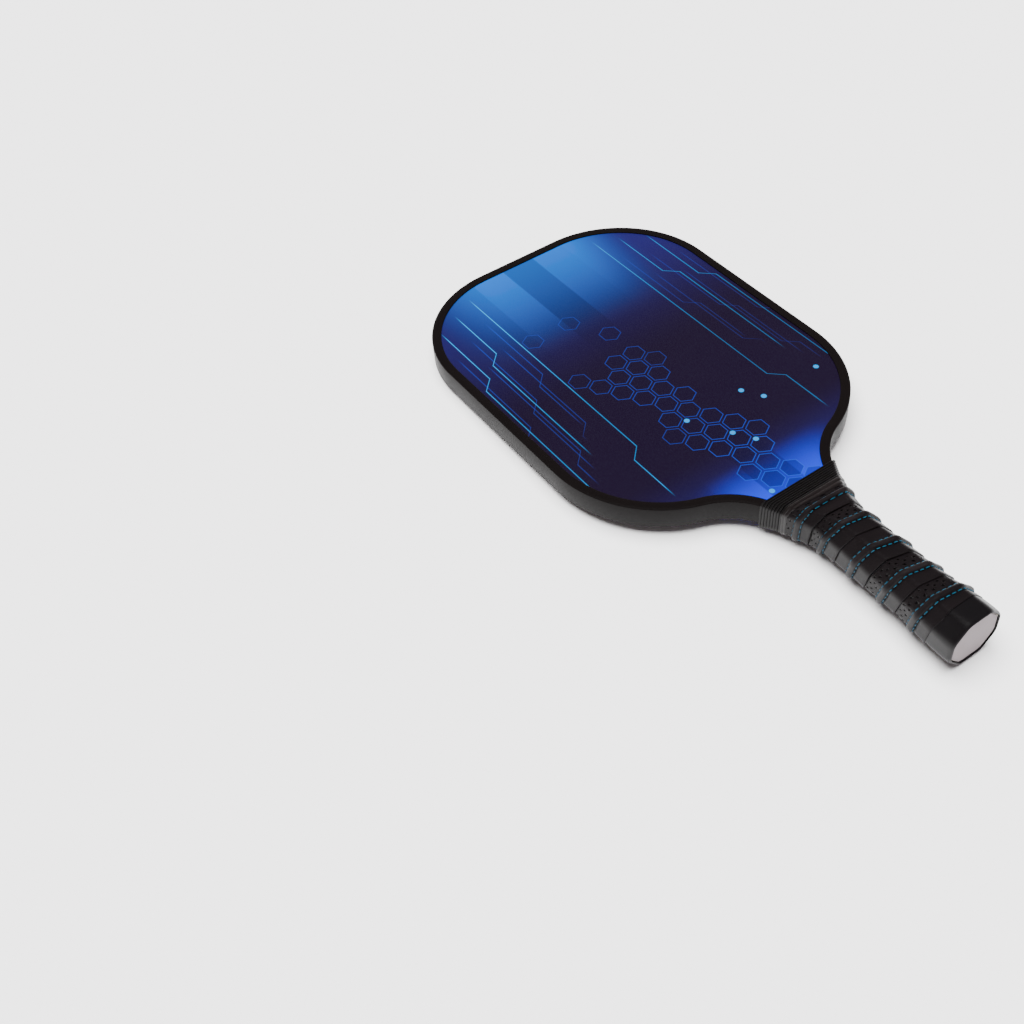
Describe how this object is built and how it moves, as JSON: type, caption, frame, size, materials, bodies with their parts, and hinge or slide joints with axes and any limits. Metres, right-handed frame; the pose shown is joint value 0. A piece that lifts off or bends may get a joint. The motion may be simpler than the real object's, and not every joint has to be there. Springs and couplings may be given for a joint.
{
  "type": "pickleball paddle",
  "caption": "Flat racket with a wide rounded head, printed playing faces over a honeycomb core, a black edge guard and a short wrapped eight-sided handle with a flared butt.",
  "frame": {"origin": "under the middle of the paddle, at the height of the lowest point of the butt, with the playing faces level", "axes": "+Y along the handle from the butt to the top of the head, +Z out of the front playing face, +X to the right across the head"},
  "size_m": [0.2, 0.4, 0.0325],
  "materials": {
    "core": "translucent white polypropylene honeycomb",
    "scrim": "thin off-white bonding veil",
    "laminate": "glass fibre laminate, satin",
    "print": "satin printed film, deep violet fading to bright blue, with fine line and hexagon pattern",
    "guard": "satin black moulded elastomer",
    "tape": "white double-sided adhesive tape",
    "handle_foam": "rigid moulded foam",
    "cap": "smooth black moulded cap, semi-gloss",
    "staple": "zinc plated wire",
    "disc": "plain light grey disc, matt",
    "felt": "dark grey felt backing",
    "grip": "black synthetic leather wrap with raised seam, teal stitching and small perforations",
    "finishing": "smooth black finishing tape",
    "collar": "black rubber with fine ribs round it"
  },
  "bodies": {
    "root": {"honeycomb_core": "core", "front_scrim": "scrim", "back_scrim": "scrim", "front_face_skin": "laminate", "back_face_skin": "laminate", "front_print_film": "print", "back_print_film": "print", "edge_guard_tape": "tape", "edge_guard": "guard", "front_handle_half": "handle_foam", "back_handle_half": "handle_foam", "butt_cap": "cap", "front_cap_staple": "staple", "back_cap_staple": "staple", "butt_disc_pad": "tape", "butt_disc": "disc", "grip_backing": "felt", "grip_tape": "grip", "finishing_tape": "finishing", "grip_collar": "collar"}
  },
  "joints": []
}
